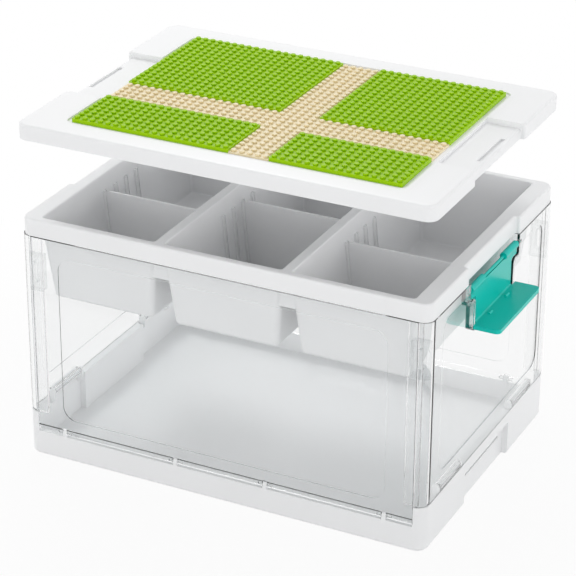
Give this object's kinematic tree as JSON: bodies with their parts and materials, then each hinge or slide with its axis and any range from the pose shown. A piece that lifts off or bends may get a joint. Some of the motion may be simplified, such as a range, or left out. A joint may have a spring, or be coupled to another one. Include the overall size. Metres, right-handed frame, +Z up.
{
  "type": "building block storage box",
  "caption": "Clear-walled storage box for building blocks, with a drop-down front, a lift-out sorting tray, flip latches and a studded lid shown raised.",
  "frame": {"origin": "on the ground under the middle of the box", "axes": "+X along the box towards the viewer's right, -Y the side of the drop-down door, +Z up"},
  "size_m": [0.466, 0.298, 0.3435],
  "materials": {
    "white_plastic": "gloss white moulded plastic",
    "clear_plastic": "clear gloss plastic",
    "teal_plastic": "gloss teal plastic",
    "lime_plastic": "gloss lime plastic",
    "sand_plastic": "gloss sand-coloured plastic"
  },
  "bodies": {
    "box": {"back_hinge_pin_1": "clear_plastic", "back_hinge_pin_2": "clear_plastic", "back_hinge_pin_3": "clear_plastic", "back_hinge_pin_4": "clear_plastic", "back_wall": "clear_plastic", "base_tray": "white_plastic", "corner_clip_back_left": "clear_plastic", "corner_clip_back_right": "clear_plastic", "corner_clip_front_left": "clear_plastic", "corner_clip_front_right": "clear_plastic", "door_hinge_pin_1": "clear_plastic", "door_hinge_pin_2": "clear_plastic", "door_hinge_pin_3": "clear_plastic", "door_hinge_pin_4": "clear_plastic", "end_hinge_pin_left_back": "white_plastic", "end_hinge_pin_left_front": "white_plastic", "end_hinge_pin_right_back": "white_plastic", "end_hinge_pin_right_front": "white_plastic", "end_wall_left": "clear_plastic", "end_wall_right": "clear_plastic", "latch_pin_left": "teal_plastic", "latch_pin_right": "teal_plastic"},
    "door": {"front_door": "clear_plastic"},
    "tray": {"sorting_tray": "white_plastic"},
    "lid": {"lid": "white_plastic", "path_plate": "sand_plastic", "garden_plate_front_left": "lime_plastic", "garden_plate_front_right": "lime_plastic", "garden_plate_back_left": "lime_plastic", "garden_plate_back_right": "lime_plastic"},
    "divider_left": {"divider_left": "white_plastic"},
    "divider_middle": {"divider_middle": "white_plastic"},
    "divider_right": {"divider_right": "white_plastic"},
    "latch_left": {"latch_left": "teal_plastic"},
    "latch_right": {"latch_right": "teal_plastic"}
  },
  "joints": [
    {"name": "door_hinge", "type": "hinge", "parent": "box", "child": "door", "pos_m": [0, -0.1458, 0.0294], "axis": [1, 0, 0], "range_deg": [0, 90]},
    {"name": "tray_lift", "type": "slide", "parent": "box", "child": "tray", "axis": [0, 0, 1], "range_m": [0, 0.12]},
    {"name": "lid_lift", "type": "slide", "parent": "tray", "child": "lid", "axis": [0, 0, 1], "range_m": [-0.078, 0.05]},
    {"name": "divider_left_lift", "type": "slide", "parent": "tray", "child": "divider_left", "axis": [0, 0, 1], "range_m": [0, 0.08]},
    {"name": "divider_middle_lift", "type": "slide", "parent": "tray", "child": "divider_middle", "axis": [0, 0, 1], "range_m": [0, 0.08]},
    {"name": "divider_right_lift", "type": "slide", "parent": "tray", "child": "divider_right", "axis": [0, 0, 1], "range_m": [0, 0.08]},
    {"name": "latch_left_hinge", "type": "hinge", "parent": "box", "child": "latch_left", "pos_m": [-0.2045, 0, 0.2228], "axis": [0, 1, 0], "range_deg": [0, 180]},
    {"name": "latch_right_hinge", "type": "hinge", "parent": "box", "child": "latch_right", "pos_m": [0.2045, 0, 0.2228], "axis": [0, -1, 0], "range_deg": [0, 180]}
  ]
}
